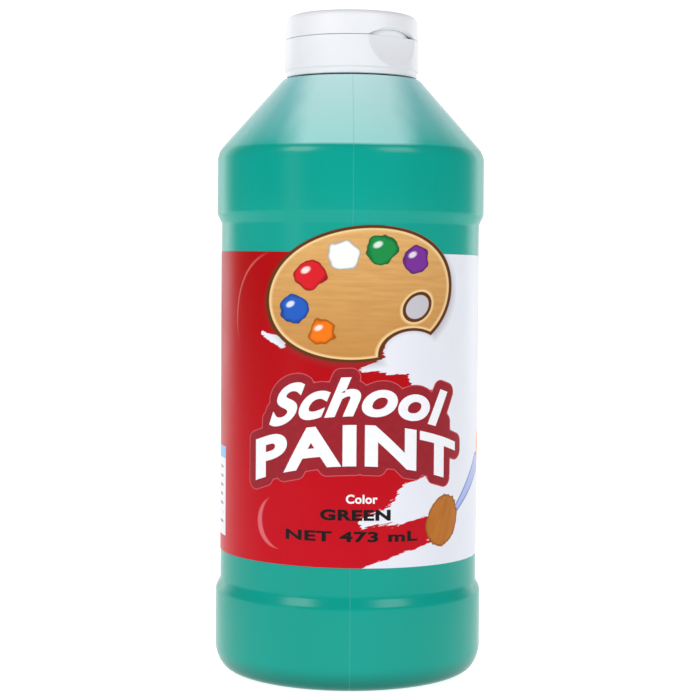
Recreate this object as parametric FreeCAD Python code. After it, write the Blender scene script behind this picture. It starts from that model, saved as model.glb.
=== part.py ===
"""Squeeze bottle of poster paint with a screw-on flip-top cap, in millimetres.

Origin: centre of the standing plane. +Z runs up the bottle's axis, and -Y is the front.
Each sub-part is one STEP file in parts/, named after its node.
"""
import FreeCAD, Part
import math
import os

V = FreeCAD.Vector
UP = V(0, 0, 1)
AXIS = V(0, 0, 0)

# ---- bottle: outside ----
band_radius = 35.4          # the two bumper bands, the widest part
panel_recess = 1.2          # how far the label panel sits behind the bands
wall = 1.1                  # blown wall of the body
inner_fillet = 2.0          # largest fillet inside the body
heel_width = 2.8            # slope between the base and the lower band, measured inwards
heel_height = 4.1
heel_low_fillet = 3.8
heel_high_fillet = 7.9
foot_width = 3.2            # flat ring that the bottle stands on
push_up = 2.2               # height of the recessed base
push_up_slope = 3.0
push_up_fillet = 1.5
foot_fillet = 1.0
lower_band_height = 21.65
ledge_height = 2.4          # sloping step between a band and the panel
ledge_fillet = 2.1
panel_height = 94.35
upper_band_height = 16.15
knee_fillet = 5.1
shoulder_angle = 48.6       # slope of the shoulder above the horizontal, degrees
shoulder_overhang = 0.56    # shoulder's flat top beyond the cap's skirt
shoulder_top_fillet = 0.8

# ---- neck finish, 28 mm with a single-start thread ----
neck_radius = 12.45
neck_bore_radius = 10.8
thread_to_land = 0.81       # from the thread's upper end to the neck's rim
neck_root_fillet = 0.6
land_chamfer = 0.4
thread_pitch = 4.233
thread_depth = 1.25
thread_root_width = 2.2
thread_crest_width = 1.2
thread_turns = 1.25
thread_fade = 0.156         # part of a turn over which each end runs out
thread_root = 0.3           # how deep a thread is rooted in its wall
sections_per_turn = 24
thread_foot = 2.2           # middle of the thread's lower end above the shoulder

# ---- paint, foil, liner, label ----
headspace = 18.8            # from the paint's surface up to the shoulder's top
paint_gap = 0.05
foil_thickness = 0.3
foil_setback = 0.05
liner_thickness = 0.9
liner_hole_radius = 9.0
liner_gap = 0.3             # liner's edge inside the threaded skirt
label_thickness = 0.1
label_low_margin = 7.7      # from the panel's foot to the label's lower edge
label_high_margin = 7.9     # from the label's upper edge to the panel's top
label_skew = 0.61           # the label was wrapped a little askew, degrees
label_back_gap = 3.0
badge_half_width = 23.9     # die-cut hump in the label's top edge
badge_half_height = 17.0
badge_tilt = 9.0
badge_offset = 2.2          # right of the front line
badge_top_margin = 1.0      # from the badge's top to the panel's top

# ---- cap base ----
cap_gap = 0.5               # between the skirt and the shoulder
skirt_spacing = 1.4         # gap between the threaded skirt and the outer skirt
skirt_wall = 1.2
lip_step = 0.4
lip_height = 1.65
skirt_height = 8.35         # from the lip to the parting plane
thread_clearance = 0.2      # neck thread's crest to the threaded skirt
inner_skirt_wall = 1.2
inner_skirt_setback = 0.4   # threaded skirt ends this far above the lip
cap_thread_depth = 1.15
cap_thread_root_width = 1.8
cap_thread_crest_width = 0.9
cap_thread_start = 0.36     # turns after the neck thread's lower end
deck_thickness = 1.2
rim_height = 1.25
rim_wall = 1.2
rim_setout = 0.8            # rim outside the threaded skirt
web_thickness = 1.3         # flat web that joins the two skirts
spout_height = 2.7
spout_foot_radius = 4.9
spout_top_radius = 3.4
orifice_radius = 1.9
orifice_length = 1.3
funnel_radius = 4.0

# ---- thumb scoop, turned from the front towards the right ----
scoop_turn = 41.0
scoop_depth = 1.95
scoop_reach = 7.9           # how far the scoop runs below the parting plane
scoop_backing = 1.3         # solid plastic beyond the scoop's outline
rim_scoop_depth = 0.35      # how far the scoop may bite into the rim
arch_height = 2.3
arch_half_width = 7.9

# ---- flip lid ----
lid_gap = 0.12
lid_setback = 0.1           # lid's foot inside the skirt's outer wall
lid_taper = 0.35
ceiling_gap = 1.12          # from the spout's top to the lid's ceiling
lid_edge_fillet = 1.8
lid_wall_gap = 0.25         # lid's wall outside the deck's rim
lid_top_thickness = 1.2
pin_clearance = 0.15
pin_engagement = 1.3
pin_tip_taper = 0.5
pin_root_radius = 2.6
pin_root_height = 0.7
ceiling_fillet = 0.7

# ---- living hinge, opposite the scoop ----
hinge_reach = 0.3           # hinge line outside the skirt
lug_half_width = 6.6
lug_height = 2.6
lug_slope = 1.6
lug_root = 0.4              # how deep a lug is rooted: its inner face outside the lid's bore
film_thickness = 0.3
film_overlap = 0.9          # how far a film laps onto each lug
film_width = 3.6
film_centre = 4.6
strap_width = 3.2
strap_thickness = 0.45
strap_bow = 0.9
strap_pad = 0.6

# ---- places that follow from the sizes above ----
panel_radius = band_radius - panel_recess
panel_foot = lower_band_height + ledge_height
panel_top = panel_foot + panel_height
upper_band_foot = panel_top + ledge_height
knee_height = upper_band_foot + upper_band_height

thread_radius = neck_radius + thread_depth
bore_of_cap = thread_radius + thread_clearance
threaded_skirt_radius = bore_of_cap + inner_skirt_wall
skirt_radius = threaded_skirt_radius + skirt_spacing + skirt_wall
shoulder_top_radius = skirt_radius + shoulder_overhang
slope = math.tan(math.radians(shoulder_angle))
shoulder_top = knee_height + (band_radius - shoulder_top_radius) * slope
neck_height = thread_foot + thread_pitch * thread_turns + thread_root_width / 2 + thread_to_land
land_height = shoulder_top + neck_height
paint_level = shoulder_top - headspace

foil_top = land_height + foil_thickness
deck_underside = foil_top + liner_thickness
deck_top = deck_underside + deck_thickness
lip_foot = shoulder_top + cap_gap
lip_top = lip_foot + lip_height
parting = lip_top + skirt_height - lip_step / 2
rim_top = deck_top + rim_height
rim_radius = threaded_skirt_radius + rim_setout
spout_top = deck_top + spout_height

lid_foot = parting + lid_gap
lid_bore = rim_radius + lid_wall_gap
lid_foot_radius = skirt_radius - lid_setback
lid_top_radius = lid_foot_radius - lid_taper
ceiling = spout_top + ceiling_gap
lid_top = ceiling + lid_top_thickness
hinge_line = skirt_radius + hinge_reach
hinge_turn = scoop_turn + 180.0


def distance_line(start, end, inset):
    """The straight line through two outline corners, moved to its left by the inset."""
    length = math.hypot(end[0] - start[0], end[1] - start[1])
    along = ((end[0] - start[0]) / length, (end[1] - start[1]) / length)
    origin = (start[0] - along[1] * inset, start[1] + along[0] * inset)
    return origin, along


def crossing(first, second):
    """Where two lines meet, each given as an origin and a direction."""
    (ax, az), (ux, uz) = first
    (bx, bz), (wx, wz) = second
    share = ((bx - ax) * wz - (bz - az) * wx) / (ux * wz - uz * wx)
    return ax + ux * share, az + uz * share


def outline_face(corners):
    """A face in the XZ plane from (radius, height, fillet) corners, rounded with arcs."""
    points = [V(radius, 0, height) for radius, height, _ in corners]
    fillets = [fillet for _, _, fillet in corners]
    edges = []
    ends = []
    for i, corner in enumerate(points):
        before = (points[i - 1] - corner).normalize()
        after = (points[(i + 1) % len(points)] - corner).normalize()
        half_angle = before.getAngle(after) / 2
        if fillets[i] == 0:
            ends.append((corner, None, corner))
            continue
        reach = fillets[i] / math.tan(half_angle)
        bisector = (before + after).normalize()
        middle = corner + bisector * (fillets[i] / math.sin(half_angle) - fillets[i])
        ends.append((corner + before * reach, middle, corner + after * reach))
    for i, (enter, middle, leave) in enumerate(ends):
        if middle is not None:
            edges.append(Part.Arc(enter, middle, leave).toShape())
        following = ends[(i + 1) % len(ends)][0]
        if (following - leave).Length > 1e-6:
            edges.append(Part.LineSegment(leave, following).toShape())
    return Part.Face(Part.Wire(edges))


def turned(corners):
    """A solid of revolution about the bottle's axis."""
    return outline_face(corners).revolve(AXIS, UP, 360)


def cylinder(radius, low, high):
    return Part.makeCylinder(radius, high - low, V(0, 0, low))


def turned_about_axis(shape, degrees):
    """A shape made at the front (-Y), turned about the axis to its place."""
    copy = shape.copy()
    copy.rotate(AXIS, UP, degrees)
    return copy


def thread_ridge(root, crest, root_width, crest_width, foot, start, turns):
    """A single-start right-hand ridge that fades out at both ends.

    foot is the height of the helix's middle at turn 0, and start and turns are in turns.
    """
    sections = []
    steps = round(turns * sections_per_turn)
    for i in range(steps + 1):
        share = i / steps
        fade = min(1.0, 0.08 + min(share, 1 - share) * turns / thread_fade)
        turn = start + turns * share
        middle = foot + thread_pitch * turn
        tip = root + (crest - root) * fade
        sunk = root - math.copysign(thread_root, crest - root)
        wide = root_width / 2 * (0.4 + 0.6 * fade)
        narrow = crest_width / 2 * (0.4 + 0.6 * fade)
        corners = [(sunk, -wide), (tip, -narrow), (tip, narrow), (sunk, wide)]
        points = [V(radius, 0, middle + height) for radius, height in corners]
        section = Part.makePolygon(points + points[:1])
        section.rotate(AXIS, UP, 360 * turn)
        sections.append(section)
    return Part.makeLoft(sections, True, False)


def body_corners(inset):
    """Outline of the bottle's body from the base's centre to the shoulder's inner end."""
    foot_outer = band_radius - heel_width
    heel_turn = math.atan2(heel_height, heel_width)
    foot_inner = foot_outer - heel_low_fillet * math.tan(heel_turn / 2) - foot_width
    corners = [
        (0, push_up, 0),
        (foot_inner - push_up_slope, push_up, push_up_fillet),
        (foot_inner, 0, foot_fillet),
        (foot_outer, 0, heel_low_fillet),
        (band_radius, heel_height, heel_high_fillet),
        (band_radius, lower_band_height, ledge_fillet),
        (panel_radius, panel_foot, ledge_fillet),
        (panel_radius, panel_top, ledge_fillet),
        (band_radius, upper_band_foot, ledge_fillet),
        (band_radius, knee_height, knee_fillet),
        (shoulder_top_radius, shoulder_top, shoulder_top_fillet),
        (0, shoulder_top, 0),
    ]
    if inset == 0:
        return corners
    lines = [distance_line(a, b, inset) for a, b in zip(corners, corners[1:])]
    moved = [(0, push_up + inset, 0)]
    for before, after, corner in zip(lines, lines[1:], corners[1:]):
        radius, height = crossing(before, after)
        moved.append((radius, height, min(corner[2], inner_fillet)))
    moved.append((0, shoulder_top - inset, 0))
    return moved


def neck_thread():
    foot = shoulder_top + thread_foot
    return thread_ridge(
        neck_radius, thread_radius, thread_root_width, thread_crest_width, foot, 0, thread_turns
    )


def make_bottle():
    body = turned(body_corners(0))
    neck = cylinder(neck_radius, shoulder_top - wall, land_height)
    neck = neck.makeChamfer(land_chamfer, [e for e in neck.Edges if e.BoundBox.ZMin > land_height - 0.1])
    outside = body.fuse(neck)
    foot = [
        e for e in outside.Edges
        if abs(e.BoundBox.ZMax - shoulder_top) < 1e-3 and abs(e.BoundBox.XMax - neck_radius) < 1e-3
        and e.BoundBox.ZLength < 1e-3
    ]
    outside = outside.removeSplitter().makeFillet(neck_root_fillet, foot)
    bore = cylinder(neck_bore_radius, shoulder_top - 2 * wall, land_height + wall)
    inside = turned(body_corners(wall)).fuse(bore)
    return outside.fuse(neck_thread()).cut(inside)


def make_paint():
    pool = turned(body_corners(wall + paint_gap))
    return pool.common(cylinder(band_radius, 0, paint_level))


def badge_outline():
    """Prism of the tilted oval hump that the die leaves in the label's top edge."""
    middle = panel_top - badge_top_margin - badge_half_height
    ellipse = Part.Ellipse(V(0, 0, 0), badge_half_width, badge_half_height).toShape()
    prism = Part.Face(Part.Wire(ellipse)).extrude(UP * band_radius)
    prism.rotate(AXIS, UP, badge_tilt)
    prism.rotate(AXIS, V(1, 0, 0), 90)
    prism.translate(V(badge_offset, 0, middle))
    return prism


def make_label():
    sleeve = cylinder(panel_radius + label_thickness, panel_foot, panel_top)
    sleeve = sleeve.cut(cylinder(panel_radius, panel_foot, panel_top))
    low = panel_foot + label_low_margin
    label_height = panel_top - label_high_margin - low
    reach = 2 * band_radius
    belt = Part.makeBox(2 * reach, 2 * reach, label_height, V(-reach, -reach, low))
    belt.rotate(V(0, 0, low + label_height / 2), V(0, 1, 0), label_skew)
    gap = Part.makeBox(label_back_gap, reach, reach * 4, V(-label_back_gap / 2, 0, 0))
    return sleeve.common(belt.fuse(badge_outline())).cut(gap)


def make_foil_seal():
    return cylinder(neck_radius - foil_setback - land_chamfer, land_height, foil_top)


def make_cap_liner():
    ring = cylinder(bore_of_cap - liner_gap, foil_top, deck_underside)
    return ring.cut(cylinder(liner_hole_radius, foil_top, deck_underside))


def scoop_cutter():
    """Round-bottomed cut, flat across, deepest at the parting plane and fading out below it."""
    depth = scoop_depth
    radius = (scoop_reach ** 2 + depth ** 2) / (2 * depth)
    centre = skirt_radius - depth + radius
    length = 2 * skirt_radius
    roller = Part.makeCylinder(radius, length, V(-length / 2, -centre, parting), V(1, 0, 0))
    around = cylinder(skirt_radius + skirt_wall, lip_foot + inner_skirt_setback, rim_top)
    keep = cylinder(rim_radius - rim_scoop_depth, lip_foot, rim_top)
    return turned_about_axis(roller, scoop_turn).common(around).cut(keep)


def scoop_block():
    """Solid plastic behind the scoop, between the two skirts."""
    half = arch_half_width + scoop_backing
    foot = lip_foot + inner_skirt_setback
    ring = cylinder(skirt_radius - skirt_wall / 2 - lip_step, foot, parting)
    ring = ring.cut(cylinder(threaded_skirt_radius - 0.5, foot, parting))
    box = Part.makeBox(2 * half, skirt_radius, parting - foot, V(-half, -skirt_radius, foot))
    return turned_about_axis(ring.common(box), scoop_turn)


def hinge_lug(direction):
    """Block between the round wall and the hinge line; direction is +1 upwards, -1 downwards."""
    start = lid_foot if direction > 0 else parting
    face_end = start + direction * (lug_height - lug_slope)
    slope_end = start + direction * (lug_height + lug_slope / 2)
    corners = [
        V(0, 0, start),
        V(0, -hinge_line, start),
        V(0, -hinge_line, face_end),
        V(0, -lid_bore, slope_end),
        V(0, 0, slope_end),
    ]
    block = Part.Face(Part.makePolygon(corners + corners[:1])).extrude(V(2 * lug_half_width, 0, 0))
    block.translate(V(-lug_half_width, 0, 0))
    block = block.cut(cylinder(lid_bore + lug_root, start - 2 * lug_height, start + 2 * lug_height))
    return turned_about_axis(block, hinge_turn)


def cap_thread():
    foot = shoulder_top + thread_foot - thread_pitch / 2
    crest = bore_of_cap - cap_thread_depth
    return thread_ridge(
        bore_of_cap, crest, cap_thread_root_width, cap_thread_crest_width, foot,
        cap_thread_start, thread_turns,
    )


def make_cap_base():
    """One revolved moulding: outer skirt, threaded skirt, deck, rim and spout."""
    inner_of_skirt = skirt_radius - skirt_wall
    web_underside = parting - web_thickness
    shell = turned([
        (inner_of_skirt - lip_step, lip_foot, 0.3),
        (skirt_radius - lip_step, lip_foot, 0.3),
        (skirt_radius - lip_step, lip_top - lip_step / 2, 0),
        (skirt_radius, lip_top + lip_step / 2, 0),
        (skirt_radius, parting, 0.2),
        (rim_radius, parting, 0.2),
        (rim_radius, rim_top, 0.5),
        (rim_radius - rim_wall, rim_top, 0.3),
        (rim_radius - rim_wall, deck_top, 0.4),
        (spout_foot_radius, deck_top, 1.2),
        (spout_top_radius, spout_top, 0.5),
        (orifice_radius, spout_top, 0.2),
        (orifice_radius, spout_top - orifice_length, 0),
        (funnel_radius, deck_underside, 0.3),
        (bore_of_cap, deck_underside, 0),
        (bore_of_cap, lip_foot + inner_skirt_setback, 0.3),
        (threaded_skirt_radius, lip_foot + inner_skirt_setback, 0.3),
        (threaded_skirt_radius, web_underside, 0.3),
        (inner_of_skirt, web_underside, 0.3),
        (inner_of_skirt, lip_top, 0),
        (inner_of_skirt - lip_step, lip_top - lip_step / 2, 0),
    ])
    return shell.fuse(scoop_block()).cut(scoop_cutter()).fuse(hinge_lug(-1)).fuse(cap_thread())


def lid_arch():
    """Prism of the finger arch in the front of the lid's wall."""
    left = V(-arch_half_width, -lid_bore * 0.7, lid_foot)
    right = V(arch_half_width, -lid_bore * 0.7, lid_foot)
    crown = V(0, -lid_bore * 0.7, lid_foot + arch_height)
    outline = Part.Wire([Part.Arc(left, crown, right).toShape(), Part.LineSegment(right, left).toShape()])
    arch = Part.Face(outline).extrude(V(0, -skirt_radius, 0))
    return turned_about_axis(arch, scoop_turn)


def make_flip_lid():
    pin_radius = orifice_radius - pin_clearance
    pin_tip = spout_top - pin_engagement
    cup = turned([
        (0, lid_top, 0),
        (lid_top_radius, lid_top, lid_edge_fillet),
        (lid_foot_radius, lid_foot, 0.2),
        (lid_bore, lid_foot, 0.2),
        (lid_bore, ceiling, ceiling_fillet),
        (pin_root_radius, ceiling, 0.3),
        (pin_radius, ceiling - pin_root_height, 0.2),
        (pin_radius, pin_tip + pin_engagement / 2, 0),
        (pin_radius - pin_tip_taper, pin_tip, 0.3),
        (0, pin_tip, 0),
    ])
    return cup.fuse(hinge_lug(1)).cut(lid_arch())


def hinge_film(side):
    """Thin web on the outer faces of the two lugs; side is -1 or +1."""
    low = parting - film_overlap
    height = lid_gap + 2 * film_overlap
    middle = side * film_centre
    web = Part.makeBox(film_width, film_thickness, height, V(middle - film_width / 2, 0, low))
    web.translate(V(0, -hinge_line - film_thickness, 0))
    return turned_about_axis(web, hinge_turn)


def snap_strap():
    """Bowed strap between the films that makes the lid snap open and shut."""
    middle = (parting + lid_foot) / 2
    reach = lug_height - lug_slope + lid_gap / 2
    inner = strap_bow
    outer = strap_bow + strap_thickness
    y = -hinge_line
    low = V(0, y, middle - reach)
    high = V(0, y, middle + reach)
    low_inner = V(0, y, middle - reach + strap_pad)
    high_inner = V(0, y, middle + reach - strap_pad)
    outline = Part.Wire([
        Part.Arc(low, V(0, y - outer, middle), high).toShape(),
        Part.LineSegment(high, high_inner).toShape(),
        Part.Arc(high_inner, V(0, y - inner, middle), low_inner).toShape(),
        Part.LineSegment(low_inner, low).toShape(),
    ])
    strap = Part.Face(outline).extrude(V(strap_width, 0, 0))
    strap.translate(V(-strap_width / 2, 0, 0))
    return turned_about_axis(strap, hinge_turn)


def main():
    os.makedirs("parts", exist_ok=True)
    nodes = {
        "bottle": make_bottle(),
        "paint": make_paint(),
        "label": make_label(),
        "foil_seal": make_foil_seal(),
        "cap_liner": make_cap_liner(),
        "cap_base": make_cap_base(),
        "flip_lid": make_flip_lid(),
        "hinge_film_left": hinge_film(-1),
        "hinge_film_right": hinge_film(1),
        "snap_strap": snap_strap(),
    }
    for name, shape in nodes.items():
        shape.exportStep(f"parts/{name}.step")
        box = shape.BoundBox
        print(
            f"{name}: {len(shape.Solids)} solid, valid {shape.isValid()}, {shape.Volume / 1000:.3f} mL,"
            f" z {box.ZMin:.2f} to {box.ZMax:.2f}, x {box.XMin:.2f} to {box.XMax:.2f}"
        )
    print(f"hinge line at radius {hinge_line:.3f}, height {parting:.3f}; land {land_height:.3f}")


main()
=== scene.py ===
"""Poster-paint squeeze bottle with a flip-top cap: the looks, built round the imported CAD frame.

Metres, +Z up the bottle's axis, -Y the front. Sizes below are written in millimetres times MM.
"""
import math

import bmesh
import bpy
from mathutils import Matrix, Vector
from mathutils.kdtree import KDTree


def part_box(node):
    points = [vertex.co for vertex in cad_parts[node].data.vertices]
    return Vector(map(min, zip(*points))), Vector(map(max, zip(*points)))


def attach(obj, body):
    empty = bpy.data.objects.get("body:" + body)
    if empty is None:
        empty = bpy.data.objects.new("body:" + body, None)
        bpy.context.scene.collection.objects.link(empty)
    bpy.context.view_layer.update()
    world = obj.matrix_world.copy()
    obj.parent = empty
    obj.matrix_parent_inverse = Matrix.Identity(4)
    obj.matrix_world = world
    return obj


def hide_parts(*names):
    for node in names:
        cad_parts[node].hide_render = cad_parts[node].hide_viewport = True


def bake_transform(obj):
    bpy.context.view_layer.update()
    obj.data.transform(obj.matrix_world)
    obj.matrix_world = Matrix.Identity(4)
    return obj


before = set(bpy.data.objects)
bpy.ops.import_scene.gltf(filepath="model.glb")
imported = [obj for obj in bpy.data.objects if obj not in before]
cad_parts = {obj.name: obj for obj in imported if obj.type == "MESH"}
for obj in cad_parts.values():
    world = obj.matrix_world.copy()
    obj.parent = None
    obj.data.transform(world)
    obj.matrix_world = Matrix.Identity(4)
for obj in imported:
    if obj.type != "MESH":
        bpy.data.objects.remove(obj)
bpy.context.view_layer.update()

MM = 0.001

# ---- places read from the frame ----
bottle_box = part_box("bottle")
label_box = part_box("label")
cap_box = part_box("cap_base")
lid_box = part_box("flip_lid")
paint_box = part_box("paint")
liner_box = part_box("cap_liner")

BAND_RADIUS = bottle_box[1][0]
LABEL_RADIUS = label_box[1][0]
LAND_HEIGHT = bottle_box[1][2]
PAINT_LEVEL = paint_box[1][2]
LID_TOP = lid_box[1][2]
LID_FOOT = lid_box[0][2]
CAP_FOOT = cap_box[0][2]
SPOUT_TOP = cap_box[1][2]
DECK_UNDERSIDE = liner_box[1][2]

# ---- bottle ----
WALL = 1.1 * MM
PUSH_UP = 2.2 * MM
LABEL_THICKNESS = 0.1 * MM
PANEL_RADIUS = LABEL_RADIUS - LABEL_THICKNESS
PANEL_FOOT = 24.05 * MM
PANEL_TOP = 118.4 * MM
LEDGE = 2.4 * MM
KNEE = 136.95 * MM
SHOULDER_TOP = CAP_FOOT - 0.5 * MM
SHOULDER_TOP_RADIUS = 18.26 * MM
NECK_RADIUS = 12.45 * MM
NECK_BORE = 10.8 * MM
THREAD_PITCH = 4.233 * MM
THREAD_TURNS = 1.25
THREAD_FOOT = SHOULDER_TOP + 2.2 * MM
SEAM_TURN = math.radians(1.05)

# ---- cap ----
LID_GAP = 0.12 * MM
PARTING = LID_FOOT - LID_GAP
SKIRT_RADIUS = 17.7 * MM
THREADED_BORE = 13.9 * MM
RIM_RADIUS = 15.9 * MM
LID_RADIUS = 17.6 * MM
LID_BORE = 16.15 * MM
PIN_REACH = 1.3 * MM
HINGE_LINE = 18.0 * MM
SCOOP_TURN = math.radians(41)
SCOOP_DEPTH = 1.95 * MM
SCOOP_REACH = 7.9 * MM
ARCH_HALF = 7.9 * MM
ARCH_HEIGHT = 2.3 * MM

SCOOP_DIRECTION = Vector((math.sin(SCOOP_TURN), -math.cos(SCOOP_TURN), 0))
SCOOP_ACROSS = Vector((math.cos(SCOOP_TURN), math.sin(SCOOP_TURN), 0))


# ======================================================================
# Mesh helpers
# ======================================================================
def finish_piece(name, bm, material, body, replaced=(), crease=40):
    """Makes a smooth-shaded piece that rides on a body, or on none when no body is given."""
    mesh = bpy.data.meshes.new(name)
    bm.to_mesh(mesh)
    bm.free()
    mesh.materials.append(material)
    for polygon in mesh.polygons:
        polygon.use_smooth = True
    mesh.set_sharp_from_angle(angle=math.radians(crease))
    piece = bpy.data.objects.new(name, mesh)
    bpy.context.scene.collection.objects.link(piece)
    if body:
        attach(piece, body)
    if replaced:
        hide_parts(*replaced)
    return piece


def turned(corners, steps, closed=False):
    """Spins a (radius, height, fillet) outline about Z and rounds the rings that have a fillet."""
    bm = bmesh.new()
    verts = [bm.verts.new((radius, 0, height)) for radius, height, _ in corners]
    edges = [bm.edges.new(pair) for pair in zip(verts, verts[1:])]
    if closed:
        edges.append(bm.edges.new((verts[-1], verts[0])))
    bmesh.ops.spin(
        bm, geom=verts + edges, cent=(0, 0, 0), axis=(0, 0, 1), angle=math.tau, steps=steps,
        use_merge=True,
    )
    bmesh.ops.remove_doubles(bm, verts=bm.verts, dist=1e-6)
    bmesh.ops.recalc_face_normals(bm, faces=bm.faces)
    count = len(corners)
    for i, (radius, height, fillet) in enumerate(corners):
        if not fillet:
            continue
        here = Vector((radius, height))
        before = (Vector(corners[i - 1][:2]) - here).normalized()
        after = (Vector(corners[(i + 1) % count][:2]) - here).normalized()
        bend = math.pi - before.angle(after)
        ring = [e for e in bm.edges if all(on_ring(v, radius, height) for v in e.verts)]
        segments = max(2, math.ceil(math.degrees(bend) / 9))
        round_edges(bm, ring, fillet * math.tan(bend / 2), segments)
    return bm


def on_ring(vert, radius, height, reach=2e-6):
    return abs(vert.co.z - height) < reach and abs(radius_of(vert) - radius) < reach


def round_edges(bm, edges, offset, segments):
    bmesh.ops.bevel(
        bm, geom=edges, offset=offset, offset_type="OFFSET", affect="EDGES", segments=segments,
        profile=0.5, clamp_overlap=True, material=-1,
    )


def cut_rows(bm, heights, wanted):
    """Adds level rows of vertices to the faces that the test picks out."""
    for height in heights:
        faces = [f for f in bm.faces if wanted(f)]
        edges = list({e for f in faces for e in f.edges})
        verts = list({v for f in faces for v in f.verts})
        geom = verts + edges + faces
        bmesh.ops.bisect_plane(bm, geom=geom, plane_co=(0, 0, height), plane_no=(0, 0, 1))


def cut_columns(bm, low, high, step):
    """Cuts a mesh at even steps along X, so that it can follow a round wall."""
    count = math.ceil((high - low) / step)
    for i in range(1, count):
        geom = list(bm.verts) + list(bm.edges) + list(bm.faces)
        place = low + (high - low) * i / count
        bmesh.ops.bisect_plane(bm, geom=geom, plane_co=(place, 0, 0), plane_no=(1, 0, 0))


def radius_of(vert):
    return math.hypot(vert.co.x, vert.co.y)


def vertices_of(geom):
    return [part for part in geom if isinstance(part, bmesh.types.BMVert)]


def prism(outline, depth, place):
    """A block from (out, up) points, extruded along X and carried to its place by a matrix."""
    bm = bmesh.new()
    verts = [bm.verts.new((-depth / 2, -out, up)) for out, up in outline]
    face = bm.faces.new(verts)
    grown = bmesh.ops.extrude_face_region(bm, geom=[face])["geom"]
    bmesh.ops.translate(bm, verts=vertices_of(grown), vec=(depth, 0, 0))
    bmesh.ops.recalc_face_normals(bm, faces=bm.faces)
    bmesh.ops.transform(bm, matrix=place, verts=bm.verts)
    return bm


def join_into(bm, other):
    """Adds another bmesh to this one as a part of the same piece."""
    mesh = bpy.data.meshes.new("joined")
    other.to_mesh(mesh)
    other.free()
    bm.from_mesh(mesh)
    bpy.data.meshes.remove(mesh)


def soften(bm, offset):
    """Bevels the edges of a block that are sharper than 30 degrees."""
    least = math.radians(30)
    sharp = [e for e in bm.edges if len(e.link_faces) == 2 and e.calc_face_angle() > least]
    round_edges(bm, sharp, offset, 2)


# ======================================================================
# Shader helpers
# ======================================================================
class Value:
    """A number that changes over a surface. It wraps a node's output and takes part in sums."""

    def __init__(self, finish, socket):
        self.finish = finish
        self.socket = socket

    def __add__(self, other):
        return self.finish.math("ADD", self, other)

    def __radd__(self, other):
        return self.finish.math("ADD", other, self)

    def __sub__(self, other):
        return self.finish.math("SUBTRACT", self, other)

    def __rsub__(self, other):
        return self.finish.math("SUBTRACT", other, self)

    def __mul__(self, other):
        return self.finish.math("MULTIPLY", self, other)

    def __rmul__(self, other):
        return self.finish.math("MULTIPLY", other, self)

    def __truediv__(self, other):
        return self.finish.math("DIVIDE", self, other)

    def __pow__(self, other):
        return self.finish.math("POWER", self, other)

    def __neg__(self):
        return self.finish.math("MULTIPLY", self, -1.0)


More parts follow.
